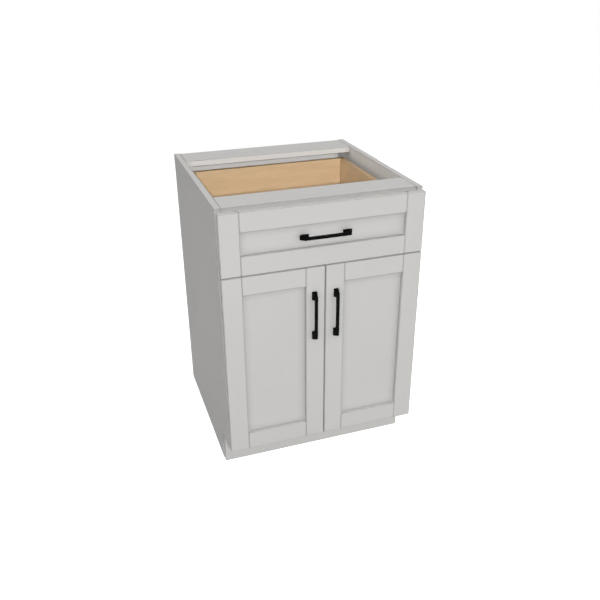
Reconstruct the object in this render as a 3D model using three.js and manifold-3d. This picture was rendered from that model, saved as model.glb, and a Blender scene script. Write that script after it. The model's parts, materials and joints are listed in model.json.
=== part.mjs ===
// One-drawer, two-door kitchen base cabinet, 24 in wide. Millimetres, +Z up, front faces -Y.
import * as THREE from 'three';
import { ConvexGeometry } from 'three/addons/geometries/ConvexGeometry.js';
import { mergeVertices } from 'three/addons/utils/BufferGeometryUtils.js';
import Module from 'manifold-3d';

const wasm = await Module();
wasm.setup();

// ---- driving sizes --------------------------------------------------------
const PAST = 5;               // cutters run this far past the faces that they cut

// carcass
const CAB_W = 609.6;          // 24 in outside width
const CAB_H = 876.3;          // 34 1/2 in height to the top of the sides
const CARCASS_D = 606.4;      // 23 7/8 in, front edge to back edge of the sides
const BOARD_T = 19.05;        // 3/4 in boards
const TOE_H = 101.6;          // 4 in toe kick
const TOE_SETBACK = 64.5;     // toe board face behind the front edges of the sides
const TOE_END_INSET = 1.5;    // toe board ends inside the faces of the sides
const BACK_T = 6.35;          // 1/4 in back
const BACK_LAP = 9.5;         // back panel into each side
const BACK_DROP = 3.2;        // top of the back below the top of the rails
const BOTTOM_LAP = 6;         // bottom board into each side
const RAIL_SETBACK = 3;       // front rails behind the front edges of the sides
const FRONT_RAIL_W = 97;      // front to back width of the front rails
const BACK_RAIL_W = 104.6;    // front to back width of the back rail
const EASE = 0.6;             // eased edge on carcass boards
const BOX_EASE = 0.8;         // eased edge on drawer box walls

// drawer front and doors
const FRONT_T = 19.05;        // 3/4 in fronts
const FRONT_GAP = 7;          // back of the fronts ahead of the sides
const SIDE_REVEAL = 2.6;      // fronts inside the cabinet width, each side
const TOP_REVEAL = 7.6;       // drawer front below the top
const DRAWER_FRONT_H = 182.6; // height of the drawer front
const DOOR_BOTTOM_UP = 0.6;   // lower edge of the doors above the toe kick
const FRONT_SPACE = 3;        // gap between neighbouring fronts
const FRAME_W = 57.15;        // 2 1/4 in stiles and rails
const PANEL_RECESS = 12;      // panel face behind the frame face
const PANEL_T = 5;            // panel thickness, also the groove width
const GROOVE_D = 9.5;         // groove depth and tenon length
const PANEL_SLACK = 0.5;      // panel short of the groove floor
const FRONT_EASE = 1;         // eased edge that shows as a fine V at the frame joints

// pulls
const PULL_CC = 128;           // screw spacing
const PULL_FOOT_L = 26.7;      // foot length at the door
const PULL_FOOT_W = 15.2;      // foot width at the door
const PULL_FOOT_H = 14.8;      // foot off the door
const PULL_TIP_W = 8.4;        // foot width at its tip
const PULL_INNER_LEAN = 4.6;   // inner side of a foot leans towards the bar's end
const PULL_OUTER_LEAN = 5.5;   // outer side of a foot leans the other way
const PULL_BAR_L = 139;        // bar length
const PULL_BAR_W = 7.8;        // bar width
const PULL_BAR_T = 9;          // bar thickness
const PULL_STAND = 21;         // face of the bar ahead of the foot base
const PULL_EASE = 0.8;         // eased edge of the bar
const PULL_EDGE = 31.75;       // door pull centre from the door's free edge
const PULL_DROP = 153.1;       // door pull centre below the door top
const SPACER_R = 3.5;          // drawer pull spacer radius

// drawer box and slides
const BOX_WALL = 15.875;      // 5/8 in drawer box walls
const SLIDE_SPACE = 12.7;     // space for a slide on each side
const BOX_TOP_DROP = 41;      // top of the drawer box below the cabinet top
const BOX_H = 127;            // 5 in drawer box
const BOX_LEN = 528.7;        // drawer box front to back
const BOX_FLOOR_T = 6.35;     // drawer floor
const BOX_FLOOR_UP = 12.7;    // drawer floor above the lower edge of the walls
const BOX_FLOOR_LAP = 6.35;   // groove depth for the drawer floor
const SLIDE_L = 508;          // 20 in slides
const SLIDE_FRONT_Y = 3;      // front end of the slides behind the side edges
const SLIDE_DROP = 78.3;      // middle of the slides below the top of the drawer box
const SLIDE_H = 45;           // outer member height
const SHEET = 1.5;            // slide sheet thickness
const BALL_SPACE = 3;         // room for the balls between neighbouring flanges
const SLIDE_PLAY = 0.5;       // clearance from a lip to the next member
const OUTER_DEPTH = 9;        // outer member off the side panel
const MIDDLE_START = 4;       // web of the middle member off the side panel
const MIDDLE_DEPTH = 10;      // flanges of the middle member off the side panel
const INNER_START = 6.6;      // flanges of the inner member off the side panel
const MIDDLE_SHORT = 6;       // middle member short of the outer one, each end

// shelf
const SHELF_UP = 270.55;      // underside of the shelf above the bottom board
const SHELF_SIDE_GAP = 1.5;   // shelf short of each side
const SHELF_FRONT_Y = 20;
const SHELF_BACK_GAP = 6;     // shelf short of the back panel
const PIN_R = 2.5;            // shelf pin radius
const PIN_L = 9;              // shelf pin in its hole
const PIN_HOLE_R = 2.85;
const PIN_HOLE_D = 10;
const HOLE_PITCH = 32;
const HOLE_ROW_IN = 37;       // hole rows behind the front edge and ahead of the back panel
const HOLES_BELOW = 4;        // spare holes under the shelf
const HOLES_ABOVE = 4;        // spare holes over the shelf
const PIN_TONGUE_T = 3;       // shelf pin tongue thickness
const PIN_TONGUE_L = 12;      // tongue under the shelf
const PIN_TONGUE_W = 12;
const PIN_COLLAR_R = 4.5;
const PIN_COLLAR_T = 1.2;

// hinges: one true pivot pin inside each 35 mm cup
const CUP_BORE_R = 17.5;
const CUP_BORE_D = 13;
const CUP_EDGE = 22.5;        // cup centre from the hinged edge of the door
const CUP_R = 17.2;
const CUP_WALL = 1.2;
const CUP_FLOOR = 0.8;
const CUP_LIFT = 0.2;         // cup off the floor of its bore
const CUP_RIM = 1.2;          // rim and wings proud of the door
const CUP_WING_L = 62;        // wings, end to end
const CUP_WING_IN = 7;        // wings from the cup centre towards the hinged edge
const CUP_WING_OUT = 17;      // wings from the cup centre away from the hinged edge
const CUP_WING_CUT = 4;       // corners cut off the wings
const CUP_SCREWS = 48;        // spacing of the cup's screw holes
const CUP_SCREW_IN = 5;       // screw holes from the cup centre away from the hinged edge
const CUP_NOTCH_D = 1.6;      // notch for the neck, below the back of the door
const CUP_NOTCH_W = 4;        // notch from the outside of the cup inwards
const PIVOT_EDGE = 11.2;      // pivot from the hinged edge of the door
const PIVOT_DEPTH = 11.2;     // pivot behind the front face of the door
const PIVOT_PIN_R = 1.3;
const PIVOT_PIN_L = 24.4;
const KNUCKLE_R = 2.9;
const KNUCKLE_BORE_R = 1.7;
const NECK_W = 11;            // height of the arm's neck
const NECK_T = 3.2;           // thickness of the neck at the pin
const NECK_BEND_R = 3;        // inside of the bend where the neck turns back
const ARM_T = 6;              // arm off the rib of the plate
const ARM_WALL = 1.5;         // cheeks of the arm beside the rib
const ARM_PLAY = 0.3;         // cheeks clear of the rib and of the wings
const ARM_START = 22.5;       // full width of the arm behind the pivot
const ARM_CHEEK = 30;         // cheeks of the arm behind the pivot
const ARM_END = 86;           // rear end of the arm behind the pivot
const ARM_CUT = 2;            // corner cut off the rear end
const PLATE_H = 7.2;          // rib of the plate off the side panel
const PLATE_WING_T = 2.4;
const PLATE_START = 22;       // plate behind the front edge of the side
const PLATE_END = 66;
const PLATE_BODY_W = 18;
const PLATE_RIB_W = 12;
const PLATE_RIB_IN = 1;       // rib inside the ends of the plate
const PLATE_WING_L = 50;      // wings, end to end
const PLATE_WING_W = 12;
const PLATE_WING_Y = 37;      // screw row behind the front edge of the side
const PLATE_SCREWS = 32;      // spacing of the plate's screw holes
const PLATE_TAPER = 3;
const HINGE_SCREW_R = 2.2;
const HINGE_INSET = 89;       // hinge centre from the door's top and bottom edges

// ---- derived places -------------------------------------------------------
const HALF_W = CAB_W / 2;
const INNER_X = HALF_W - BOARD_T;
const FRONT_BACK_Y = -FRONT_GAP;
const FRONT_FACE_Y = FRONT_BACK_Y - FRONT_T;
const PANEL_FACE_Y = FRONT_FACE_Y + PANEL_RECESS;
const BACK_PANEL_Y = CARCASS_D - BACK_T;
const FRONTS_X = HALF_W - SIDE_REVEAL;
const DRAWER_TOP_Z = CAB_H - TOP_REVEAL;
const DRAWER_BOTTOM_Z = DRAWER_TOP_Z - DRAWER_FRONT_H;
const DOOR_TOP_Z = DRAWER_BOTTOM_Z - FRONT_SPACE;
const DOOR_BOTTOM_Z = TOE_H + DOOR_BOTTOM_UP;
const SPLIT_Z = (DRAWER_BOTTOM_Z + DOOR_TOP_Z) / 2;
const BAR_FACE_Y = FRONT_FACE_Y - PULL_STAND;
const MID_Y = (BAR_FACE_Y + CARCASS_D) / 2;   // brings the origin under the middle of the whole piece
const BOTTOM_TOP_Z = TOE_H + BOARD_T;
const SHELF_Z = BOTTOM_TOP_Z + SHELF_UP;
const BOX_TOP_Z = CAB_H - BOX_TOP_DROP;
const SLIDE_Z = BOX_TOP_Z - SLIDE_DROP;

// ---- finishes -------------------------------------------------------------
const GREY = { color: 0xc4c3c0, roughness: 0.55, metalness: 0 };
const MAPLE = { color: 0xc8a67c, roughness: 0.5, metalness: 0 };
const BLACK = { color: 0x0c0c0c, roughness: 0.45, metalness: 0.6 };
const NICKEL = { color: 0xb4b4b2, roughness: 0.3, metalness: 1 };
const ZINC = { color: 0x9fa2a5, roughness: 0.38, metalness: 1 };

// ---- solid helpers --------------------------------------------------------
const snap = (v) => Math.round(v * 1000) / 1000;

function toSolid(geometry) {
  const bare = geometry.clone();
  bare.deleteAttribute('normal');
  bare.deleteAttribute('uv');
  const welded = mergeVertices(bare, 1e-4);
  return new wasm.Manifold(new wasm.Mesh({
    numProp: 3,
    vertProperties: new Float32Array(welded.attributes.position.array),
    triVerts: new Uint32Array(welded.index.array),
  }));
}

function toGeometry(body) {
  const mesh = body.getMesh();
  const geometry = new THREE.BufferGeometry();
  geometry.setAttribute('position', new THREE.BufferAttribute(new Float32Array(mesh.vertProperties), 3));
  geometry.setIndex(new THREE.BufferAttribute(new Uint32Array(mesh.triVerts), 1));
  const flat = geometry.toNonIndexed();
  flat.computeVertexNormals();
  return flat;
}

function block(x0, x1, y0, y1, z0, z1) {
  const [a, b, c, d, e, f] = [x0, x1, y0, y1, z0, z1].map(snap);
  const geometry = new THREE.BoxGeometry(1, 1, 1);
  const p = geometry.attributes.position;
  for (let i = 0; i < p.count; i += 1) {
    p.setXYZ(i, p.getX(i) > 0 ? b : a, p.getY(i) > 0 ? d : c, p.getZ(i) > 0 ? f : e);
  }
  return toSolid(geometry);
}

// box with every edge cut back by `ease`
function eased(x0, x1, y0, y1, z0, z1, ease) {
  const lo = [x0, y0, z0].map(snap);
  const hi = [x1, y1, z1].map(snap);
  const points = [];
  for (let axis = 0; axis < 3; axis += 1) {
    for (let corner = 0; corner < 8; corner += 1) {
      const p = [0, 1, 2].map((k) => {
        const high = (corner >> k) & 1;
        const inset = k === axis ? 0 : ease;
        return snap(high ? hi[k] - inset : lo[k] + inset);
      });
      points.push(new THREE.Vector3(...p));
    }
  }
  return toSolid(new ConvexGeometry(points));
}

function hull(points) {
  return toSolid(new ConvexGeometry(points.map((p) => new THREE.Vector3(...p.map(snap)))));
}

// outline [[a, b], ...] swept along an axis: z takes (x, y), y takes (x, z), x takes (y, z)
const SWEEP = {
  x: [[0, 1, 0], [0, 0, 1], [1, 0, 0]],
  y: [[1, 0, 0], [0, 0, 1], [0, -1, 0]],
  z: [[1, 0, 0], [0, 1, 0], [0, 0, 1]],
};
function sweep(axis, outline, low, high) {
  const shape = new THREE.Shape(outline.map(([a, b]) => new THREE.Vector2(snap(a), snap(b))));
  const geometry = new THREE.ExtrudeGeometry(shape, { depth: snap(high) - snap(low), bevelEnabled: false });
  const basis = SWEEP[axis].map((v) => new THREE.Vector3(...v));
  geometry.applyMatrix4(new THREE.Matrix4().makeBasis(...basis));
  const shift = axis === 'y' ? snap(high) : snap(low);
  geometry.translate(axis === 'x' ? shift : 0, axis === 'y' ? shift : 0, axis === 'z' ? shift : 0);
  return toSolid(geometry);
}

function ring(a, b, radius, sides) {
  const points = [];
  for (let i = 0; i < sides; i += 1) {
    const t = (2 * Math.PI * (i + 0.5)) / sides;
    points.push([a + radius * Math.cos(t), b + radius * Math.sin(t)]);
  }
  return points;
}

const rod = (axis, a, b, radius, low, high, sides = 20) => sweep(axis, ring(a, b, radius, sides), low, high);

// left-hand outline seen from the other side
const mirrored = (outline) => outline.map(([a, b]) => [-a, b]).reverse();

const cabinet = new THREE.Group();
cabinet.name = 'base_cabinet';

function piece(name, body, finish) {
  const geometry = toGeometry(body);
  geometry.translate(0, -MID_Y, 0);
  const mesh = new THREE.Mesh(geometry, new THREE.MeshStandardMaterial(finish));
  mesh.name = name;
  cabinet.add(mesh);
}

// ---- carcass --------------------------------------------------------------
const HOLE_ROWS_Y = [HOLE_ROW_IN, BACK_PANEL_Y - HOLE_ROW_IN];
const PIN_Z = SHELF_Z - PIN_TONGUE_T - PIN_R;

function sidePanel(side) {
  const near = (x) => (side < 0 ? [-x[1], -x[0]] : x);
  const [x0, x1] = near([INNER_X, HALF_W]);
  let body = eased(x0, x1, 0, CARCASS_D, 0, CAB_H, EASE);
  body = body.subtract(block(x0 - PAST, x1 + PAST, -PAST, TOE_SETBACK + BOARD_T, -PAST, TOE_H));
  const bottom = near([INNER_X - PAST, INNER_X + BOTTOM_LAP]);
  body = body.subtract(block(...bottom, -PAST, BACK_PANEL_Y, TOE_H, BOTTOM_TOP_Z));
  const back = near([INNER_X - PAST, INNER_X + BACK_LAP]);
  body = body.subtract(block(...back, BACK_PANEL_Y, CARCASS_D + PAST, TOE_H, CAB_H - BACK_DROP));
  const hole = near([INNER_X - PAST, INNER_X + PIN_HOLE_D]);
  for (const y of HOLE_ROWS_Y) {
    for (let k = -HOLES_BELOW; k <= HOLES_ABOVE; k += 1) {
      body = body.subtract(rod('x', y, PIN_Z + k * HOLE_PITCH, PIN_HOLE_R, ...hole, 14));
    }
  }
  return body;
}

function bottomPanel() {
  const x = INNER_X + BOTTOM_LAP;
  return block(-x, x, 0, BACK_PANEL_Y, TOE_H, BOTTOM_TOP_Z);
}

const topRail = (y0, y1) => eased(-INNER_X, INNER_X, y0, y1, CAB_H - BOARD_T, CAB_H, EASE);

function backPanel() {
  const x = INNER_X + BACK_LAP;
  return block(-x, x, BACK_PANEL_Y, CARCASS_D, TOE_H, CAB_H - BACK_DROP);
}

function toeKickBoard() {
  const x = HALF_W - TOE_END_INSET;
  return eased(-x, x, TOE_SETBACK, TOE_SETBACK + BOARD_T, 0, TOE_H, EASE);
}

function shelf() {
  const x = INNER_X - SHELF_SIDE_GAP;
  return eased(-x, x, SHELF_FRONT_Y, BACK_PANEL_Y - SHELF_BACK_GAP, SHELF_Z, SHELF_Z + BOARD_T, EASE);
}

// peg in the hole, collar against the side, tongue under the shelf
function shelfPin(side, y) {
  const span = (a, b) => (side < 0 ? [-b, -a] : [a, b]);
  const half = PIN_TONGUE_W / 2;
  const peg = rod('x', y, PIN_Z, PIN_R, ...span(INNER_X - PIN_COLLAR_T, INNER_X + PIN_L), 16);
  const collar = rod('x', y, PIN_Z, PIN_COLLAR_R, ...span(INNER_X - PIN_COLLAR_T, INNER_X), 16);
  const tongue = block(...span(INNER_X - PIN_TONGUE_L, INNER_X), y - half, y + half,
    SHELF_Z - PIN_TONGUE_T, SHELF_Z);
  return peg.add(collar).add(tongue);
}

// ---- frame-and-panel fronts ------------------------------------------------
// stiles run the full height; rails sit between them on stub tenons; the panel floats in the grooves
function frameFront(x0, x1, z0, z1) {
  const gy0 = PANEL_FACE_Y;
  const gy1 = PANEL_FACE_Y + PANEL_T;
  const left = x0 + FRAME_W;
  const right = x1 - FRAME_W;
  const low = z0 + FRAME_W;
  const high = z1 - FRAME_W;
  const stile = (a, b) => eased(a, b, FRONT_FACE_Y, FRONT_BACK_Y, z0, z1, FRONT_EASE);
  const groove = (a, b, c, d) => block(a, b, gy0, gy1, c, d);
  const rail = (c, d, inner) => {
    const body = eased(left, right, FRONT_FACE_Y, FRONT_BACK_Y, c, d, FRONT_EASE)
      .add(block(left - GROOVE_D, right + GROOVE_D, gy0, gy1, c + FRONT_EASE, d - FRONT_EASE));
    const [from, to] = [left - GROOVE_D - PAST, right + GROOVE_D + PAST];
    return inner > 0
      ? body.subtract(groove(from, to, d - GROOVE_D, d + PAST))
      : body.subtract(groove(from, to, c - PAST, c + GROOVE_D));
  };
  const lap = GROOVE_D - PANEL_SLACK;
  return {
    stileLeft: stile(x0, left).subtract(groove(left - GROOVE_D, left + PAST, z0 - PAST, z1 + PAST)),
    stileRight: stile(right, x1).subtract(groove(right - PAST, right + GROOVE_D, z0 - PAST, z1 + PAST)),
    railTop: rail(high, z1, -1),
    railBottom: rail(z0, low, 1),
    panel: block(left - lap, right + lap, gy0, gy1, low - lap, high + lap),
  };
}

// bar let into two feet that narrow towards it; `along` is the bar's direction
function pull(along, cx, cz) {
  const place = (l, w, y) => (along === 'x' ? [cx + l, y, cz + w] : [cx + w, y, cz + l]);
  const tipY = FRONT_FACE_Y - PULL_FOOT_H;
  const inner = (PULL_CC - PULL_FOOT_L) / 2;
  const outer = (PULL_CC + PULL_FOOT_L) / 2;
  const foot = (s) => {
    const corners = [];
    for (const w of [-0.5, 0.5]) {
      corners.push(place(s * inner, w * PULL_FOOT_W, FRONT_FACE_Y));
      corners.push(place(s * outer, w * PULL_FOOT_W, FRONT_FACE_Y));
      corners.push(place(s * (inner + PULL_INNER_LEAN), w * PULL_TIP_W, tipY));
      corners.push(place(s * (outer - PULL_OUTER_LEAN), w * PULL_TIP_W, tipY));
    }
    return hull(corners);
  };
  const a = place(-PULL_BAR_L / 2, -PULL_BAR_W / 2, BAR_FACE_Y);
  const b = place(PULL_BAR_L / 2, PULL_BAR_W / 2, BAR_FACE_Y + PULL_BAR_T);
  return eased(a[0], b[0], a[1], b[1], a[2], b[2], PULL_EASE).add(foot(-1)).add(foot(1));
}

const pullSpacer = (x, z) => rod('y', x, z, SPACER_R, FRONT_FACE_Y, PANEL_FACE_Y, 16);

// ---- hinges (drawn for the left door, mirrored for the right) ---------------
const PIVOT_X = -(FRONTS_X - PIVOT_EDGE);
const PIVOT_Y = FRONT_FACE_Y + PIVOT_DEPTH;
const CUP_X = -(FRONTS_X - CUP_EDGE);

const swapSide = (side, outline) => (side < 0 ? outline : mirrored(outline));

// arc of outline points about (a, b), angles in degrees
function arc(a, b, radius, from, to) {
  const points = [];
  for (let i = 0; i <= 5; i += 1) {
    const t = ((from + ((to - from) * i) / 5) * Math.PI) / 180;
    points.push([a + radius * Math.cos(t), b + radius * Math.sin(t)]);
  }
  return points;
}

const screwHole = (axis, a, b, from, to) => rod(axis, a, b, HINGE_SCREW_R, from - PAST, to + PAST, 12);

function hingeBore(side, z) {
  return rod('y', side * -CUP_X, z, CUP_BORE_R, FRONT_BACK_Y - CUP_BORE_D, FRONT_BACK_Y + PAST, 36);
}

// cup with two screw wings on the back of the door, the pivot pin across it and a notch for the neck
function hingeCup(side, z) {
  const x = side * -CUP_X;
  const floorY = FRONT_BACK_Y - CUP_BORE_D + CUP_LIFT;
  const rimY = FRONT_BACK_Y + CUP_RIM;
  const [l, i, o, c] = [CUP_WING_L / 2, CUP_WING_IN, CUP_WING_OUT, CUP_WING_CUT];
  const wings = [[c - i, -l], [o - c, -l], [o, c - l], [o, l - c],
    [o - c, l], [c - i, l], [-i, l - c], [-i, c - l]];
  const flange = swapSide(side, wings.map(([a, b]) => [CUP_X + a, b])).map(([a, b]) => [a, z + b]);
  let body = rod('y', x, z, CUP_R, floorY, rimY, 36);
  body = body.add(sweep('y', flange, FRONT_BACK_Y, rimY));
  body = body.subtract(rod('y', x, z, CUP_R - CUP_WALL, floorY + CUP_FLOOR, rimY + PAST, 36));
  const holeX = side * -(CUP_X + CUP_SCREW_IN);
  for (const s of [-0.5, 0.5]) {
    body = body.subtract(screwHole('y', holeX, z + s * CUP_SCREWS, FRONT_BACK_Y, rimY));
  }
  const outside = CUP_X - CUP_R - PAST;
  const inside = CUP_X - CUP_R + CUP_NOTCH_W;
  const [n0, n1] = side < 0 ? [outside, inside] : [-inside, -outside];
  const n = NECK_W / 2 + 1;
  body = body.subtract(block(n0, n1, FRONT_BACK_Y - CUP_NOTCH_D, rimY + PAST, z - n, z + n));
  const pin = PIVOT_PIN_L / 2;
  return body.add(rod('z', side * -PIVOT_X, PIVOT_Y, PIVOT_PIN_R, z - pin, z + pin, 16));
}

// fixed arm: knuckle on the pin, neck out of the cup, channel that straddles the rib of the plate
function hingeArm(side, z) {
  const under = -INNER_X + PLATE_H - PIVOT_X;
  const face = under + ARM_T;
  const low = -INNER_X + PLATE_WING_T + ARM_PLAY - PIVOT_X;
  const cheek = PLATE_RIB_W / 2 + ARM_PLAY;
  const at = (outline) => swapSide(side, outline.map(([a, b]) => [PIVOT_X + a, b]))
    .map(([a, b]) => [a, PIVOT_Y + b]);
  const t = NECK_T / 2;
  const outerR = NECK_BEND_R + NECK_T + t;
  const neck = at([[0, -t], ...arc(face - outerR, outerR - t, outerR, -90, 0), [face, ARM_CHEEK],
    [under, ARM_CHEEK], ...arc(under - NECK_BEND_R, NECK_BEND_R + t, NECK_BEND_R, 0, -90), [0, t]]);
  const rear = at([[low, ARM_CHEEK], [under, ARM_START], [face, ARM_START], [face, ARM_END - ARM_CUT],
    [face - ARM_CUT, ARM_END], [low, ARM_END]]);
  const hollow = at([[low - PAST, ARM_CHEEK + ARM_CUT], [under, ARM_CHEEK + ARM_CUT], [under, ARM_END + PAST],
    [low - PAST, ARM_END + PAST]]);
  const px = side * -PIVOT_X;
  const [n, r] = [NECK_W / 2, cheek + ARM_WALL];
  return sweep('z', neck, z - n, z + n)
    .add(rod('z', px, PIVOT_Y, KNUCKLE_R, z - n, z + n, 20))
    .subtract(rod('z', px, PIVOT_Y, KNUCKLE_BORE_R, z - n - PAST, z + n + PAST, 20))
    .add(sweep('z', rear, z - r, z + r))
    .subtract(sweep('z', hollow, z - cheek, z + cheek));
}

// winged base with a raised rib that carries the arm
function hingePlate(side, z) {
  const span = (a, b) => (side < 0 ? [-INNER_X + a, -INNER_X + b] : [INNER_X - b, INNER_X - a]);
  const [w, l] = [PLATE_BODY_W / 2, PLATE_WING_L / 2];
  const c = PLATE_WING_Y;
  const [near, far] = [PLATE_WING_W / 2, PLATE_WING_W / 2 + PLATE_TAPER];
  const upper = [[PLATE_END, w], [c + far, w], [c + near, l], [c - near, l], [c - far, w], [PLATE_START, w]];
  const lower = upper.map(([a, b]) => [a, -b]).reverse();
  let body = sweep('x', [...lower, ...upper].map(([a, b]) => [a, z + b]), ...span(0, PLATE_WING_T));
  body = body.add(block(...span(PLATE_WING_T / 2, PLATE_H), PLATE_START + PLATE_RIB_IN,
    PLATE_END - PLATE_RIB_IN, z - PLATE_RIB_W / 2, z + PLATE_RIB_W / 2));
  for (const s of [-0.5, 0.5]) {
    body = body.subtract(screwHole('x', c, z + s * PLATE_SCREWS, ...span(0, PLATE_WING_T)));
  }
  return body;
}

// ---- drawer slides (outlines are distance off the side panel, height) --------
const slideX = (side, outline) => swapSide(side, outline.map(([u, v]) => [-INNER_X + u, v]))
  .map(([a, v]) => [a, SLIDE_Z + v]);
const MIDDLE_HALF = SLIDE_H / 2 - SHEET - BALL_SPACE;
const INNER_HALF = MIDDLE_HALF - SHEET - BALL_SPACE;
const SLIDE_LIP = BALL_SPACE - SLIDE_PLAY;

// C-shaped member: web at u0, flanges to u1, lips turned in to hold the balls
function channel(u0, u1, h) {
  const t = SHEET;
  const lip = h - t - SLIDE_LIP;
  return [[u0, -h], [u1, -h], [u1, -lip], [u1 - t, -lip], [u1 - t, t - h], [u0 + t, t - h],
    [u0 + t, h - t], [u1 - t, h - t], [u1 - t, lip], [u1, lip], [u1, h], [u0, h]];
}

// flat web against the drawer box with flanges reaching back into the middle member
function innerMember() {
  const h = INNER_HALF;
  const [u0, u1] = [INNER_START, SLIDE_SPACE];
  const t = SHEET;
  return [[u1, -h], [u1, h], [u0, h], [u0, h - t], [u1 - t, h - t], [u1 - t, t - h], [u0, t - h], [u0, -h]];
}

const slideEnd = SLIDE_FRONT_Y + SLIDE_L;
const slideMember = (side, outline, shorter) => sweep('y', slideX(side, outline),
  SLIDE_FRONT_Y + shorter, slideEnd - shorter);
const middleMember = channel(MIDDLE_START, MIDDLE_DEPTH, MIDDLE_HALF);
const slideOuter = (side) => slideMember(side, channel(0, OUTER_DEPTH, SLIDE_H / 2), 0);
const slideMiddle = (side) => slideMember(side, middleMember, MIDDLE_SHORT);
const slideInner = (side) => slideMember(side, innerMember(), 0);

// ---- drawer box -------------------------------------------------------------
function drawerBox() {
  const x = INNER_X - SLIDE_SPACE;
  const xi = x - BOX_WALL;
  const y0 = FRONT_BACK_Y;
  const y1 = y0 + BOX_LEN;
  const z0 = BOX_TOP_Z - BOX_H;
  const floor0 = z0 + BOX_FLOOR_UP;
  const floor1 = floor0 + BOX_FLOOR_T;
  const lap = BOX_FLOOR_LAP;
  const groove = block(-xi - lap, xi + lap, y0 + BOX_WALL - lap, y1 - BOX_WALL + lap, floor0, floor1);
  const wall = (a, b, c, d) => eased(a, b, c, d, z0, BOX_TOP_Z, BOX_EASE);
  return {
    sideLeft: wall(-x, -xi, y0, y1).subtract(groove),
    sideRight: wall(xi, x, y0, y1).subtract(groove),
    front: wall(-xi, xi, y0, y0 + BOX_WALL).subtract(groove),
    back: wall(-xi, xi, y1 - BOX_WALL, y1).subtract(groove),
    floor: block(-xi - lap, xi + lap, y0 + BOX_WALL - lap, y1 - BOX_WALL + lap, floor0, floor1),
  };
}

// ---- assembly -----------------------------------------------------------------
piece('left_side_panel', sidePanel(-1), GREY);
piece('right_side_panel', sidePanel(1), GREY);
piece('bottom_panel', bottomPanel(), GREY);
piece('front_top_rail', topRail(RAIL_SETBACK, RAIL_SETBACK + FRONT_RAIL_W), GREY);
piece('back_top_rail', topRail(BACK_PANEL_Y - BACK_RAIL_W, BACK_PANEL_Y), GREY);
piece('front_mid_rail', eased(-INNER_X, INNER_X, RAIL_SETBACK, RAIL_SETBACK + FRONT_RAIL_W,
  SPLIT_Z - BOARD_T / 2, SPLIT_Z + BOARD_T / 2, EASE), GREY);
piece('back_panel', backPanel(), GREY);
piece('toe_kick_board', toeKickBoard(), GREY);
piece('adjustable_shelf', shelf(), GREY);
piece('shelf_pin_front_left', shelfPin(-1, HOLE_ROWS_Y[0]), NICKEL);
piece('shelf_pin_front_right', shelfPin(1, HOLE_ROWS_Y[0]), NICKEL);
piece('shelf_pin_back_left', shelfPin(-1, HOLE_ROWS_Y[1]), NICKEL);
piece('shelf_pin_back_right', shelfPin(1, HOLE_ROWS_Y[1]), NICKEL);
piece('slide_outer_left', slideOuter(-1), ZINC);
piece('slide_outer_right', slideOuter(1), ZINC);
piece('slide_middle_left', slideMiddle(-1), ZINC);
piece('slide_middle_right', slideMiddle(1), ZINC);

const drawerFront = frameFront(-FRONTS_X, FRONTS_X, DRAWER_BOTTOM_Z, DRAWER_TOP_Z);
const drawerMidZ = (DRAWER_BOTTOM_Z + DRAWER_TOP_Z) / 2;
piece('drawer_front_left_stile', drawerFront.stileLeft, GREY);
piece('drawer_front_right_stile', drawerFront.stileRight, GREY);
piece('drawer_front_top_rail', drawerFront.railTop, GREY);
piece('drawer_front_bottom_rail', drawerFront.railBottom, GREY);
piece('drawer_front_panel', drawerFront.panel, GREY);
piece('drawer_pull', pull('x', 0, drawerMidZ), BLACK);
piece('drawer_pull_spacer_left', pullSpacer(-PULL_CC / 2, drawerMidZ), BLACK);
piece('drawer_pull_spacer_right', pullSpacer(PULL_CC / 2, drawerMidZ), BLACK);
const box = drawerBox();
piece('drawer_box_left_side', box.sideLeft, MAPLE);
piece('drawer_box_right_side', box.sideRight, MAPLE);
piece('drawer_box_front', box.front, MAPLE);
piece('drawer_box_back', box.back, MAPLE);
piece('drawer_box_bottom', box.floor, MAPLE);
piece('slide_inner_left', slideInner(-1), ZINC);
piece('slide_inner_right', slideInner(1), ZINC);

const HINGE_ZS = { bottom: DOOR_BOTTOM_Z + HINGE_INSET, top: DOOR_TOP_Z - HINGE_INSET };
for (const [side, hand] of [[-1, 'left'], [1, 'right']]) {
  const near = FRONT_SPACE / 2;
  const [x0, x1] = side < 0 ? [-FRONTS_X, -near] : [near, FRONTS_X];
  const door = frameFront(x0, x1, DOOR_BOTTOM_Z, DOOR_TOP_Z);
  const outer = side < 0 ? 'stileLeft' : 'stileRight';
  const inner = side < 0 ? 'stileRight' : 'stileLeft';
  let hinged = door[outer];
  for (const z of Object.values(HINGE_ZS)) hinged = hinged.subtract(hingeBore(side, z));
  piece(`${hand}_door_hinge_stile`, hinged, GREY);
  piece(`${hand}_door_pull_stile`, door[inner], GREY);
  piece(`${hand}_door_top_rail`, door.railTop, GREY);
  piece(`${hand}_door_bottom_rail`, door.railBottom, GREY);
  piece(`${hand}_door_panel`, door.panel, GREY);
  piece(`${hand}_door_pull`, pull('z', side * (near + PULL_EDGE), DOOR_TOP_Z - PULL_DROP), BLACK);
  for (const [end, z] of Object.entries(HINGE_ZS)) {
    piece(`hinge_cup_${hand}_${end}`, hingeCup(side, z), NICKEL);
    piece(`hinge_arm_${hand}_${end}`, hingeArm(side, z), NICKEL);
    piece(`hinge_plate_${hand}_${end}`, hingePlate(side, z), NICKEL);
  }
}

export default cabinet;
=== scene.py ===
# Kitchen base cabinet: one drawer over two doors. Metres, +Z up, the front faces -Y.
import json
import math

import bmesh
import bpy
from mathutils import Matrix, Vector


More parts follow.
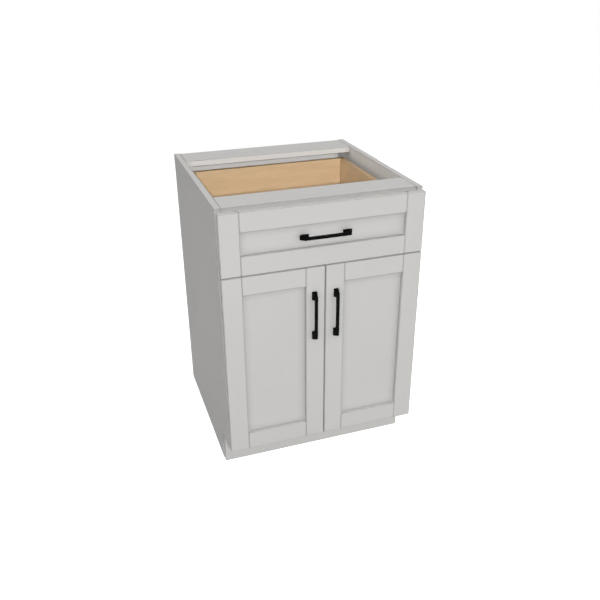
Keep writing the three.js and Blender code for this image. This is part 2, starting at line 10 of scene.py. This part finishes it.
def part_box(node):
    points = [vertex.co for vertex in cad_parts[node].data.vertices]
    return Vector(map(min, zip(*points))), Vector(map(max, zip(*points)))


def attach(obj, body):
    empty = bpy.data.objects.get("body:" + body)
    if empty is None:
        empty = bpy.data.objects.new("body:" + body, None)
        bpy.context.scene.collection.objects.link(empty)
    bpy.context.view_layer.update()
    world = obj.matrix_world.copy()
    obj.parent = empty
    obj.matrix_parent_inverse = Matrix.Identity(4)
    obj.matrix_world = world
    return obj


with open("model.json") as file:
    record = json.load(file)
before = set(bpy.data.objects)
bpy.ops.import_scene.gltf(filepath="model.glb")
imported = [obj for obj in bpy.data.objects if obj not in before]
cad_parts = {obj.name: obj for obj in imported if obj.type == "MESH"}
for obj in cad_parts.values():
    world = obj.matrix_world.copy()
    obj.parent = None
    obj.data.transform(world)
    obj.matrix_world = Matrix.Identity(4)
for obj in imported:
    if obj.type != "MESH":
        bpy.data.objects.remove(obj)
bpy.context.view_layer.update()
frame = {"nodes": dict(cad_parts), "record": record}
NODES = frame["nodes"]

# ---- camera -------------------------------------------------------------------
CAM_AT = Vector((-0.646104, -1.977270, 1.462212))
CAM_YAW = 0.328              # radians to the right of +Y
CAM_PITCH = 0.460            # radians down
CAM_ROLL = -0.006            # radians
PICTURE_PX = 600             # width of the picture
FOCAL_PX = 690.23            # focal length in its pixels
SENSOR_MM = 36
CLIP_END = 100


def make_camera():
    forward = Vector((math.sin(CAM_YAW) * math.cos(CAM_PITCH),
                      math.cos(CAM_YAW) * math.cos(CAM_PITCH),
                      -math.sin(CAM_PITCH)))
    right = Vector((math.cos(CAM_YAW), -math.sin(CAM_YAW), 0))
    up = right.cross(forward)
    c, s = math.cos(CAM_ROLL), math.sin(CAM_ROLL)
    columns = (c * right + s * up, c * up - s * right, -forward)
    matrix = Matrix.Translation(CAM_AT)
    for i, column in enumerate(columns):
        for j in range(3):
            matrix[j][i] = column[j]
    data = bpy.data.cameras.new("camera")
    data.sensor_width = SENSOR_MM
    data.lens = FOCAL_PX / PICTURE_PX * SENSOR_MM
    data.clip_end = CLIP_END
    camera = bpy.data.objects.new("camera", data)
    bpy.context.scene.collection.objects.link(camera)
    camera.matrix_world = matrix
    bpy.context.scene.camera = camera


# ---- light, background and floor --------------------------------------------------
WHITE = (1, 1, 1, 1)
AMBIENT = 0.259              # even light from all round
REAR = 0.953                 # more of it from the back and right, at its middle
REAR_TOWARD = (0.7, 0.7, 0.12)
ZENITH = 0.1                 # more of it from above
# name, light on a surface that faces it, place, what it points at, size;
# a light of 1 shows a colour as it is written
LAMPS = (
    # beside the camera; it points right of the object and below, which evens out the front
    ("key", 0.904, Vector((-0.724, -2.4, 1.595)), Vector((1.15, 0.25, -0.5)), 0.12),
    ("side", 0.049, Vector((-2.5, -0.18, 2.0)), Vector((0, 0, 0.45)), 1.2),
)
FLOOR_REACH = 3.5
FLOOR_SIDES = 64
FLOOR_DROP = 0.0005          # below the object, so that the two don't share a plane
FLOOR_ALBEDO = 0.8
FLOOR_BOUNCE = 0.05          # the floor as the light on the object meets it
FLOOR_GLOW = 0.66


def combine(tree, operation, a, b=None):
    """Math node on sockets or numbers."""
    node = tree.nodes.new("ShaderNodeMath")
    node.operation = operation
    for socket, value in zip(node.inputs, (a, b)):
        if value is None:
            continue
        if isinstance(value, (int, float)):
            socket.default_value = value
        else:
            tree.links.new(value, socket)
    return node.outputs[0]


def seen_directly(tree):
    """1 for what the camera, a reflection or a refraction sees, 0 for light on surfaces."""
    rays = tree.nodes.new("ShaderNodeLightPath").outputs
    first = combine(tree, "MAXIMUM", rays["Is Camera Ray"], rays["Is Glossy Ray"])
    return combine(tree, "MAXIMUM", first, rays["Is Transmission Ray"])


def light_toward(tree, direction, toward, strength):
    """Light level that rises from half the even light to `strength` above it in one direction."""
    facing = tree.nodes.new("ShaderNodeVectorMath")
    facing.operation = "DOT_PRODUCT"
    facing.inputs[1].default_value = Vector(toward).normalized()
    tree.links.new(direction, facing.inputs[0])
    level = tree.nodes.new("ShaderNodeMapRange")
    level.inputs["To Min"].default_value = AMBIENT / 2
    level.inputs["To Max"].default_value = AMBIENT / 2 + strength
    tree.links.new(facing.outputs["Value"], level.inputs["Value"])
    return level.outputs[0]


def make_world():
    world = bpy.data.worlds.new("studio")
    bpy.context.scene.world = world
    world.use_nodes = True
    tree = world.node_tree
    tree.nodes.clear()
    direction = tree.nodes.new("ShaderNodeTexCoord").outputs["Generated"]
    rear = light_toward(tree, direction, REAR_TOWARD, REAR)
    zenith = light_toward(tree, direction, (0, 0, 1), ZENITH)
    light = tree.nodes.new("ShaderNodeBackground")
    light.inputs["Color"].default_value = WHITE
    tree.links.new(combine(tree, "ADD", rear, zenith), light.inputs["Strength"])
    backdrop = tree.nodes.new("ShaderNodeBackground")
    backdrop.inputs["Color"].default_value = WHITE
    backdrop.inputs["Strength"].default_value = 1
    mix = tree.nodes.new("ShaderNodeMixShader")
    tree.links.new(seen_directly(tree), mix.inputs[0])
    tree.links.new(light.outputs[0], mix.inputs[1])
    tree.links.new(backdrop.outputs[0], mix.inputs[2])
    out = tree.nodes.new("ShaderNodeOutputWorld")
    tree.links.new(mix.outputs[0], out.inputs["Surface"])


def make_lamp(name, level, at, toward, size):
    """Soft lamp that is as strong on the far side of the object as on the near side."""
    data = bpy.data.lights.new(name, "AREA")
    data.shape = "DISK"
    data.size = size
    data.energy = level * math.pi ** 2
    data.use_nodes = True
    tree = data.node_tree
    falloff = tree.nodes.new("ShaderNodeLightFalloff")
    falloff.inputs["Strength"].default_value = 1
    tree.links.new(falloff.outputs["Constant"], tree.nodes["Emission"].inputs["Strength"])
    lamp = bpy.data.objects.new(name, data)
    bpy.context.scene.collection.objects.link(lamp)
    lamp.location = at
    lamp.rotation_euler = (at - toward).to_track_quat("Z", "Y").to_euler()


def floor_material():
    """Near white to the eye, dark to the light that reaches the object."""
    material = bpy.data.materials.new("floor")
    material.use_nodes = True
    tree = material.node_tree
    tree.nodes.clear()
    direct = seen_directly(tree)
    tone = tree.nodes.new("ShaderNodeMapRange")
    tone.inputs["To Min"].default_value = FLOOR_BOUNCE
    tone.inputs["To Max"].default_value = FLOOR_ALBEDO
    tree.links.new(direct, tone.inputs["Value"])
    diffuse = tree.nodes.new("ShaderNodeBsdfDiffuse")
    tree.links.new(tone.outputs[0], diffuse.inputs["Color"])
    glow = tree.nodes.new("ShaderNodeEmission")
    tree.links.new(combine(tree, "MULTIPLY", direct, FLOOR_GLOW), glow.inputs["Strength"])
    add = tree.nodes.new("ShaderNodeAddShader")
    tree.links.new(diffuse.outputs[0], add.inputs[0])
    tree.links.new(glow.outputs[0], add.inputs[1])
    out = tree.nodes.new("ShaderNodeOutputMaterial")
    tree.links.new(add.outputs[0], out.inputs["Surface"])
    return material


def make_floor():
    turn = [2 * math.pi * i / FLOOR_SIDES for i in range(FLOOR_SIDES)]
    rim = [(FLOOR_REACH * math.cos(t), FLOOR_REACH * math.sin(t), 0) for t in turn]
    mesh = bpy.data.meshes.new("floor")
    mesh.from_pydata(rim, [], [range(FLOOR_SIDES)])
    mesh.materials.append(floor_material())
    floor = bpy.data.objects.new("floor", mesh)
    bpy.context.scene.collection.objects.link(floor)
    floor.location.z = -FLOOR_DROP


# ---- materials ----------------------------------------------------------------
NOISE_SPAN = (0.3, 0.7)      # a noise seldom goes beyond these
SHADE_SAMPLES = 8
# how open the surroundings of a point are, from 0 to 1, as read by the painted shade
OPEN_IN_GAP = 0.15
OPEN_AT_CORNER = 0.5         # a square inner corner
OPEN_AT_EDGE = 0.7           # an outer edge eased at 45 degrees, looked at from inside


class Nodes:
    """Short calls for a material's node tree."""

    def __init__(self, name, **shader):
        self.material = bpy.data.materials.new(name)
        self.material.use_nodes = True
        self.tree = self.material.node_tree
        self.shader = self.tree.nodes["Principled BSDF"]
        for key, value in shader.items():
            self.shader.inputs[key.replace("_", " ")].default_value = value
        self.place = self.add("ShaderNodeTexCoord").outputs["Object"]

    def add(self, kind, **settings):
        node = self.tree.nodes.new(kind)
        for key, value in settings.items():
            setattr(node, key, value)
        return node

    def link(self, a, b):
        self.tree.links.new(a, b)

    def math(self, operation, a, b=None):
        return combine(self.tree, operation, a, b)

    def axes(self):
        """X, Y and Z of the point on the piece."""
        part = self.add("ShaderNodeSeparateXYZ")
        self.link(self.place, part.inputs[0])
        return part.outputs

    def stretch(self, scale, shift=(0, 0, 0)):
        node = self.add("ShaderNodeMapping")
        node.inputs["Scale"].default_value = scale
        node.inputs["Location"].default_value = shift
        self.link(self.place, node.inputs["Vector"])
        return node.outputs[0]

    def noise(self, vector, scale, detail=2.0, rough=0.5, bend=0.0):
        node = self.add("ShaderNodeTexNoise")
        node.inputs["Scale"].default_value = scale
        node.inputs["Detail"].default_value = detail
        node.inputs["Roughness"].default_value = rough
        node.inputs["Distortion"].default_value = bend
        self.link(vector, node.inputs["Vector"])
        return node.outputs["Fac"]

    def ramp(self, value, *stops):
        node = self.add("ShaderNodeValToRGB")
        elements = node.color_ramp.elements
        while len(elements) < len(stops):
            elements.new(0.5)
        for element, (at, colour) in zip(elements, stops):
            element.position = at
            element.color = (*colour, 1)
        self.link(value, node.inputs[0])
        return node.outputs["Color"]

    def span(self, value, low, high, to_low, to_high):
        """`value` taken from low..high to to_low..to_high, and held there beyond both ends."""
        node = self.add("ShaderNodeMapRange")
        sockets = ("From Min", "From Max", "To Min", "To Max")
        for key, number in zip(sockets, (low, high, to_low, to_high)):
            node.inputs[key].default_value = number
        self.link(value, node.inputs["Value"])
        return node.outputs[0]

    def mix(self, factor, a, b, blend="MIX"):
        node = self.add("ShaderNodeMix", data_type="RGBA", blend_type=blend)
        for socket, value in ((node.inputs[0], factor), (node.inputs[6], a), (node.inputs[7], b)):
            if isinstance(value, (int, float)):
                socket.default_value = value
            elif isinstance(value, tuple):
                socket.default_value = (*value, 1)
            else:
                self.link(value, socket)
        return node.outputs[2]

    def multiply(self, colour, other):
        return self.mix(1.0, colour, other, "MULTIPLY")

    def levels(self, value, *stops):
        """Ramp of greys."""
        return self.ramp(value, *[(at, (level,) * 3) for at, level in stops])

    def between(self, noise, low, high):
        """Colour from `low` to `high`, by a noise."""
        return self.ramp(noise, *zip(NOISE_SPAN, (low, high)))

    # Painted shade: the colour times a grey ramp of how open the point's surroundings are
    def shade(self, colour, reach, stops, inside=False):
        node = self.add("ShaderNodeAmbientOcclusion",
                        samples=SHADE_SAMPLES, inside=inside, only_local=inside)
        node.inputs["Distance"].default_value = reach
        return self.multiply(colour, self.levels(node.outputs["AO"], *stops))

    def painted_corner_shade(self, colour, reach, dark):
        """Painted shade in inner corners within `reach`; deep gaps get none, as they are dark
        enough by themselves.
        """
        return self.shade(colour, reach, ((OPEN_IN_GAP, 1), (OPEN_AT_CORNER, dark), (1, 1)))

    def edges(self, colour, reach, dark):
        """Painted shade along outer edges: darkens what is within `reach` of one."""
        return self.shade(colour, reach, ((OPEN_AT_EDGE, dark), (1, 1)), inside=True)

    def roughness(self, noise, low, high):
        self.set("Roughness", self.span(noise, *NOISE_SPAN, low, high))

    def bump(self, height, strength, distance):
        node = self.add("ShaderNodeBump")
        node.inputs["Strength"].default_value = strength
        node.inputs["Distance"].default_value = distance
        self.link(height, node.inputs["Height"])
        self.link(node.outputs[0], self.shader.inputs["Normal"])

    def set(self, socket, value):
        self.link(value, self.shader.inputs[socket])


PAINT_DARK = (0.597, 0.589, 0.575)
PAINT_LIGHT = (0.627, 0.618, 0.602)
PAINT_CORNER_SHADE = (0.024, 0.72)            # how far the painted corner shade reaches and how dark it is
PAINT_EDGE_SHADE = (0.003, 0.68)               # the same for the painted shade along an outer edge
FLOOR_FADE = (0.03, 0.07)                # the floor is no corner, so the painted shade begins above it
RAIL_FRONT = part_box("front_top_rail")[0][1]
RAIL_SHADOW_Z = (0.8690, 0.8697)                 # painted shadow on the rail's front, where it shows over the drawer front
RAIL_SHADOW_DEPTH = 0.0005
# how dark the painted shadow on the rail's front is
RAIL_SHADOW_LEVEL = 0.84


def paint():
    n = Nodes("painted_board", IOR=1.46, Specular_IOR_Level=0.08)
    broad = n.noise(n.place, 2.6, 3)
    fine = n.noise(n.place, 38, 2)
    plain = n.between(n.mix(0.25, broad, fine), PAINT_DARK, PAINT_LIGHT)
    # painted shade in inner corners and along outer edges, faded out near the floor
    shaded = n.edges(n.painted_corner_shade(plain, *PAINT_CORNER_SHADE), *PAINT_EDGE_SHADE)
    _, y, z = n.axes()
    colour = n.mix(n.span(z, *FLOOR_FADE, 0, 1), plain, shaded)
    # painted shadow on the strip of the rail's front that shows above the drawer front
    at_front = n.span(y, RAIL_FRONT, RAIL_FRONT + RAIL_SHADOW_DEPTH, 1, 0)
    rail_shadow = n.math("MULTIPLY", n.span(z, *RAIL_SHADOW_Z, 0, 1), at_front)
    n.set("Base Color", n.multiply(colour, n.levels(rail_shadow, (0, 1), (1, RAIL_SHADOW_LEVEL))))
    peel = n.noise(n.place, 620, 1)
    n.roughness(peel, 0.46, 0.54)
    n.bump(peel, 0.025, 0.0002)
    return n.material


MAPLE_TONES = (
    (0.34, (0.50, 0.355, 0.210)),
    (0.5, (0.562, 0.406, 0.247)),
    (0.66, (0.620, 0.461, 0.287)),
)
# painted shade in the box's corners and along its edges: how far it reaches and how dark it is
MAPLE_CORNER_SHADE = (0.008, 0.84)
MAPLE_EDGE_SHADE = (0.0016, 0.85)
GRAIN = (1.0, 14.0)                      # how fine the grain is along the board and across
FIBRE = (2.0, 84.0)


def along_and_across(direction, along, across):
    """Scale that is `along` on the axis of that name and `across` on the others."""
    return tuple(along if axis == direction else across for axis in "xyz")


def maple(name, along, shift, dovetails=None):
    n = Nodes(name, Specular_IOR_Level=0.12)
    grain = n.stretch(along_and_across(along, *GRAIN), shift)
    broad = n.noise(grain, 3.2, 4, 0.55, 0.6)
    streak = n.noise(grain, 22, 3, 0.6, 0.2)
    fibre = n.noise(n.stretch(along_and_across(along, *FIBRE), shift), 9, 2)
    figure = n.mix(0.2, n.mix(0.45, broad, streak), fibre)
    colour = n.ramp(figure, *MAPLE_TONES)
    if dovetails:
        colour = dovetailed(n, colour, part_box(dovetails))
    # painted shade in inner corners and along outer edges
    n.set("Base Color", n.edges(n.painted_corner_shade(colour, *MAPLE_CORNER_SHADE), *MAPLE_EDGE_SHADE))
    n.roughness(streak, 0.36, 0.5)
    n.bump(fibre, 0.08, 0.0002)
    return n.material


DOVETAIL_PITCH = 0.0254
PIN_HALF = 0.003                         # half width of a pin at the end of the board
PIN_SLOPE = 0.17
BOX_WALL = 0.015875
JOINT_LINE = 0.0003
JOINT_TONE = (0.2, 0.12, 0.06)
END_GRAIN = ((0.35, (0.62, 0.55, 0.47)), (0.6, (0.86, 0.8, 0.74)))


def dovetailed(n, colour, bounds):
    """End grain of the pins, with a fine glue line round it, at both ends of a drawer side."""
    low, high = bounds
    _, y, z = n.axes()
    depth = n.math("MINIMUM", n.math("SUBTRACT", y, low[1]), n.math("SUBTRACT", high[1], y))
    from_pin = n.math("PINGPONG", n.math("SUBTRACT", z, low[2]), DOVETAIL_PITCH / 2)
    half = n.math("ADD", n.math("MULTIPLY", depth, PIN_SLOPE), PIN_HALF)
    beyond = n.math("SUBTRACT", from_pin, half)
    near_end = n.math("LESS_THAN", depth, BOX_WALL)
    pin = n.math("MULTIPLY", n.math("LESS_THAN", beyond, 0), near_end)
    on_edge = n.math("LESS_THAN", n.math("ABSOLUTE", beyond), JOINT_LINE)
    edge = n.math("MULTIPLY", on_edge, near_end)
    from_shoulder = n.math("ABSOLUTE", n.math("SUBTRACT", depth, BOX_WALL))
    shoulder = n.math("LESS_THAN", from_shoulder, JOINT_LINE)
    pores = n.noise(n.place, 900, 2)
    colour = n.mix(pin, colour, n.multiply(colour, n.ramp(pores, *END_GRAIN)))
    return n.mix(n.math("MAXIMUM", edge, shoulder), colour, JOINT_TONE)


BRUSHED = (1.0, 30.0)                    # how fine the brushing is along and across
WORN = 0.91                              # share of its colour that worn metal keeps


def metal(name, colour, rough, brush=None):
    n = Nodes(name, Metallic=1.0)
    vector = n.stretch(along_and_across(brush, *BRUSHED)) if brush else n.place
    wear = n.noise(vector, 40, 3)
    n.set("Base Color", n.between(wear, tuple(c * WORN for c in colour), colour))
    n.roughness(wear, rough - 0.06, rough + 0.08)
    n.bump(wear, 0.05, 0.0001)
    return n.material


COAT_DARK = (0.0006, 0.0006, 0.0007)
COAT_LIGHT = (0.0024, 0.0024, 0.0025)


def powder_coat():
    n = Nodes("black_metal", IOR=1.5, Specular_IOR_Level=0.035)
    grain = n.noise(n.place, 1400, 2)
    n.set("Base Color", n.between(grain, COAT_DARK, COAT_LIGHT))
    n.roughness(grain, 0.42, 0.58)
    n.bump(grain, 0.15, 0.0001)
    return n.material


PAINT = paint()
BLACK = powder_coat()
NICKEL = metal("hinge_nickel", (0.66, 0.65, 0.63), 0.28)
ZINC = metal("slide_zinc", (0.56, 0.57, 0.58), 0.34, brush="y")
# each board of the box is cut from another part of the same wood
BOX_WOOD = {
    "drawer_box_left_side": maple("maple_left", "y", (0.3, 0, 0.7), "drawer_box_left_side"),
    "drawer_box_right_side": maple("maple_right", "y", (1.9, 0, 0.2), "drawer_box_right_side"),
    "drawer_box_front": maple("maple_front", "x", (0, 0.4, 1.3)),
    "drawer_box_back": maple("maple_back", "x", (0, 2.1, 0.5)),
    "drawer_box_bottom": maple("maple_floor", "y", (0.9, 0, 0.1)),
}
SLOT_LOOK = {
    "painted_board": PAINT,
    "black_metal": BLACK,
    "hinge_nickel": NICKEL,
    "slide_zinc": ZINC,
}


def dress_nodes():
    for row in frame["record"]["subparts"]:
        name = row["node"]
        materials = NODES[name].data.materials
        materials.clear()
        materials.append(BOX_WOOD.get(name) or SLOT_LOOK[row["material_slot"]])


# ---- small parts -----------------------------------------------------------------
def turned(profile, sides=24):
    """Solid turned about Z from (radius, height) points, lowest first."""
    bm = bmesh.new()
    turn = [2 * math.pi * i / sides for i in range(sides)]
    rings = [[bm.verts.new((radius * math.cos(t), radius * math.sin(t), height)) for t in turn]
             for radius, height in profile]
    for low, high in zip(rings, rings[1:]):
        for i in range(sides):
            j = (i + 1) % sides
            bm.faces.new((low[i], low[j], high[j], high[i]))
    bm.faces.new(list(reversed(rings[0])))
    bm.faces.new(rings[-1])
    return bm


def add_slab(bm, low, high):
    made = bmesh.ops.create_cube(bm, size=1)["verts"]
    size = [h - l for l, h in zip(low, high)]
    middle = [(h + l) / 2 for l, h in zip(low, high)]
    bmesh.ops.scale(bm, vec=size, verts=made)
    bmesh.ops.translate(bm, vec=middle, verts=made)
    return made


def carved(solid, cutter):
    """Mesh of `solid` with `cutter` taken out; both are used up."""
    shown = []
    for bm in (solid, cutter):
        mesh = bpy.data.meshes.new("rough")
        bm.to_mesh(mesh)
        bm.free()
        shown.append(bpy.data.objects.new("rough", mesh))
        bpy.context.scene.collection.objects.link(shown[-1])
    cut = shown[0].modifiers.new("cut", "BOOLEAN")
    cut.object = shown[1]
    cut.use_self = True
    depsgraph = bpy.context.evaluated_depsgraph_get()
    result = bpy.data.meshes.new_from_object(shown[0].evaluated_get(depsgraph))
    for obj in shown:
        bpy.data.objects.remove(obj)
    return result


RECESS_TAPER = 0.7                       # how wide the recess is at its floor, to its mouth
RECESS_TURN = 0.5                        # radians
RECESS_TOP = 1.5                         # the cutter's top, clear of the head


def screw_head(profile, recess_w, recess_l, recess_d):
    """Head of radius 1 and height 1 with a cross recess: half width, half length and depth."""
    cutter = bmesh.new()
    for x, y in ((recess_l, recess_w), (recess_w, recess_l)):
        for vert in add_slab(cutter, (-x, -y, 1 - recess_d), (x, y, RECESS_TOP)):
            if vert.co.z < 1:
                vert.co.x *= RECESS_TAPER
                vert.co.y *= RECESS_TAPER
    bmesh.ops.rotate(cutter, verts=cutter.verts, matrix=Matrix.Rotation(RECESS_TURN, 3, "Z"))
    return carved(turned(profile), cutter)


PAN_OUTLINE = ((1, 0), (1, 0.3), (0.93, 0.62), (0.76, 0.86), (0.5, 1))
TRUSS_OUTLINE = ((1, 0), (0.98, 0.2), (0.86, 0.5), (0.66, 0.78), (0.4, 1))
CAM_OUTLINE = ((1, 0), (1, 0.7), (0.9, 1))
PAN_HEAD = screw_head(PAN_OUTLINE, 0.13, 0.55, 0.6)
TRUSS_HEAD = screw_head(TRUSS_OUTLINE, 0.11, 0.42, 0.7)
CAM_HEAD = screw_head(CAM_OUTLINE, 0.16, 0.7, 0.6)
HEAD_SPIN = 1.1                          # radians from one screw to the next


def add_heads(bm, head, size, axis, places):
    """Copies of `head`, of size (radius, height), that stand along `axis` on each of `places`."""
    radius, height = size
    turn = Vector(axis).to_track_quat("Z", "Y").to_matrix().to_4x4()
    scale = Matrix.Diagonal((radius, radius, height, 1))
    for i, place in enumerate(places):
        spin = Matrix.Rotation(HEAD_SPIN * i, 4, "Z")
        copy = head.copy()
        copy.transform(Matrix.Translation(place) @ turn @ spin @ scale)
        bm.from_mesh(copy)
        bpy.data.meshes.remove(copy)


def add_piece(name, bm, body, material, smooth=35):
    mesh = bpy.data.meshes.new(name)
    bm.to_mesh(mesh)
    bm.free()
    for face in mesh.polygons:
        face.use_smooth = True
    mesh.set_sharp_from_angle(angle=math.radians(smooth))
    mesh.materials.append(material)
    obj = bpy.data.objects.new(name, mesh)
    bpy.context.scene.collection.objects.link(obj)
    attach(obj, body)


def middle_of(node):
    low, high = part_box(node)
    return (Vector(low) + Vector(high)) / 2


# screw heads: radius, height
CUP_SCREW = (0.0036, 0.0017)
PLATE_SCREW = (0.0035, 0.0016)
ARM_SCREW = (0.0034, 0.0009)
PULL_SCREW = (0.0042, 0.0024)
BOX_SCREW = (0.0045, 0.002)
SLIDE_SCREW = (0.0037, 0.0011)

CUP_SCREW_IN = 0.005                     # nearer the middle of the door than the cup's centre
CUP_SCREW_UP = 0.024
PLATE_SCREW_BACK = 0.015                 # behind the front end of the plate
PLATE_SCREW_UP = 0.016
PLATE_WING_T = 0.0024
ARM_SCREWS_AHEAD = (0.012, 0.042)        # of the rear end of the arm


def hinge_screws(hand, side):
    on_door, on_plate, on_arm = [], [], []
    for end in ("top", "bottom"):
        cup = middle_of(f"hinge_cup_{hand}_{end}")
        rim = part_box(f"hinge_cup_{hand}_{end}")[1][1]
        low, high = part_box(f"hinge_plate_{hand}_{end}")
        wall = low[0] if side < 0 else high[0]
        arm_low, arm_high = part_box(f"hinge_arm_{hand}_{end}")
        face = arm_high[0] if side < 0 else arm_low[0]
        plate_x, plate_y = wall - side * PLATE_WING_T, low[1] + PLATE_SCREW_BACK
        for s in (-1, 1):
            on_door.append((cup.x - side * CUP_SCREW_IN, rim, cup.z + s * CUP_SCREW_UP))
            on_plate.append((plate_x, plate_y, cup.z + s * PLATE_SCREW_UP))
        for ahead in ARM_SCREWS_AHEAD:
            on_arm.append((face, arm_high[1] - ahead, cup.z))
    bm = bmesh.new()
    add_heads(bm, PAN_HEAD, CUP_SCREW, (0, 1, 0), on_door)
    add_piece(f"{hand}_hinge_cup_screws", bm, f"{hand}_door", NICKEL)
    bm = bmesh.new()
    add_heads(bm, PAN_HEAD, PLATE_SCREW, (-side, 0, 0), on_plate)
    add_heads(bm, CAM_HEAD, ARM_SCREW, (-side, 0, 0), on_arm)
    add_piece(f"{hand}_hinge_plate_screws", bm, "carcass", NICKEL)


PULL_CC = 0.128                          # between the two screws of a pull
BOX_SCREW_OUT = 0.72                     # share of the box front's half width
BOX_SCREW_LOW = 0.042                    # above its lower edge
BOX_SCREW_HIGH = 0.022                   # below its upper edge


def pull_screws():
    for hand in ("left", "right"):
        pull = middle_of(f"{hand}_door_pull")
        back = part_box(f"{hand}_door_pull_stile")[1][1]
        places = [(pull.x, back, pull.z + s * PULL_CC / 2) for s in (-1, 1)]
        bm = bmesh.new()
        add_heads(bm, TRUSS_HEAD, PULL_SCREW, (0, 1, 0), places)
        add_piece(f"{hand}_door_pull_screws", bm, f"{hand}_door", ZINC)
    pull = middle_of("drawer_pull")
    low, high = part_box("drawer_box_front")
    back = high[1]
    places = [(s * PULL_CC / 2, back, pull.z) for s in (-1, 1)]
    corners = [(x * BOX_SCREW_OUT, back, z) for x in (low[0], high[0])
               for z in (low[2] + BOX_SCREW_LOW, high[2] - BOX_SCREW_HIGH)]
    bm = bmesh.new()
    add_heads(bm, TRUSS_HEAD, PULL_SCREW, (0, 1, 0), places)
    add_heads(bm, PAN_HEAD, BOX_SCREW, (0, 1, 0), corners)
    add_piece("drawer_front_screws", bm, "drawer", ZINC)


SHEET = 0.0015                           # thickness of a slide member
SLIDE_SCREWS_BACK = (0.035, 0.227, 0.419)
BALL_R = 0.00142
BALL_STEP = 0.011
CAGE_T = 0.0006                          # thickness of a cage, and width of its long edges
CAGE_BAR_HALF = 0.002
# per cage: its balls off the slide's mid-height, off the cabinet's side and behind the front
# end, how many there are, and half its width
CAGES = (
    (0.0195, 0.0050, 0.262, 21, 0.0021),
    (0.0150, 0.0070, 0.012, 13, 0.0014),
)


def add_cage(cages, x, z, start, count, half):
    """Strip round a row of balls: two long edges, joined by a bar between each two balls."""
    under, over = z - CAGE_T / 2, z + CAGE_T / 2
    stop = start + count * BALL_STEP
    for edge in (-1, 1):
        rail = x + edge * (half - CAGE_T / 2)
        add_slab(cages, (rail - CAGE_T / 2, start, under), (rail + CAGE_T / 2, stop, over))
    for i in range(count + 1):
        bar = start + i * BALL_STEP
        front, rear = bar - CAGE_BAR_HALF, bar + CAGE_BAR_HALF
        add_slab(cages, (x - half, front, under), (x + half, rear, over))


def slide_parts(hand, side):
    low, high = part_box(f"slide_outer_{hand}")
    wall = low[0] if side < 0 else high[0]
    z = (low[2] + high[2]) / 2
    inner_low, inner_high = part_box(f"slide_inner_{hand}")
    box_side = inner_high[0] if side < 0 else inner_low[0]
    rows = ((f"{hand}_slide_screws", "carcass", wall - side * SHEET, -side),
            (f"{hand}_box_slide_screws", "drawer", box_side + side * SHEET, side))
    for name, body, x, facing in rows:
        bm = bmesh.new()
        places = [(x, low[1] + y, z) for y in SLIDE_SCREWS_BACK]
        add_heads(bm, PAN_HEAD, SLIDE_SCREW, (facing, 0, 0), places)
        add_piece(name, bm, body, ZINC)
    balls, cages = bmesh.new(), bmesh.new()
    for up, off, front, count, half in CAGES:
        x = wall - side * off
        start = low[1] + front
        for s in (-1, 1):
            level = z + s * up
            for i in range(count):
                place = Matrix.Translation((x, start + (i + 0.5) * BALL_STEP, level))
                bmesh.ops.create_icosphere(balls, subdivisions=2, radius=BALL_R, matrix=place)
            add_cage(cages, x, level, start, count, half)
    add_piece(f"{hand}_slide_balls", balls, f"{hand}_slide_middle", NICKEL, 60)
    add_piece(f"{hand}_slide_cages", cages, f"{hand}_slide_middle", ZINC)


def make_small_parts():
    for hand, side in (("left", -1), ("right", 1)):
        hinge_screws(hand, side)
        slide_parts(hand, side)
    pull_screws()


make_camera()
make_world()
make_floor()
for lamp in LAMPS:
    make_lamp(*lamp)
dress_nodes()
make_small_parts()
bpy.context.scene.view_settings.view_transform = "Standard"
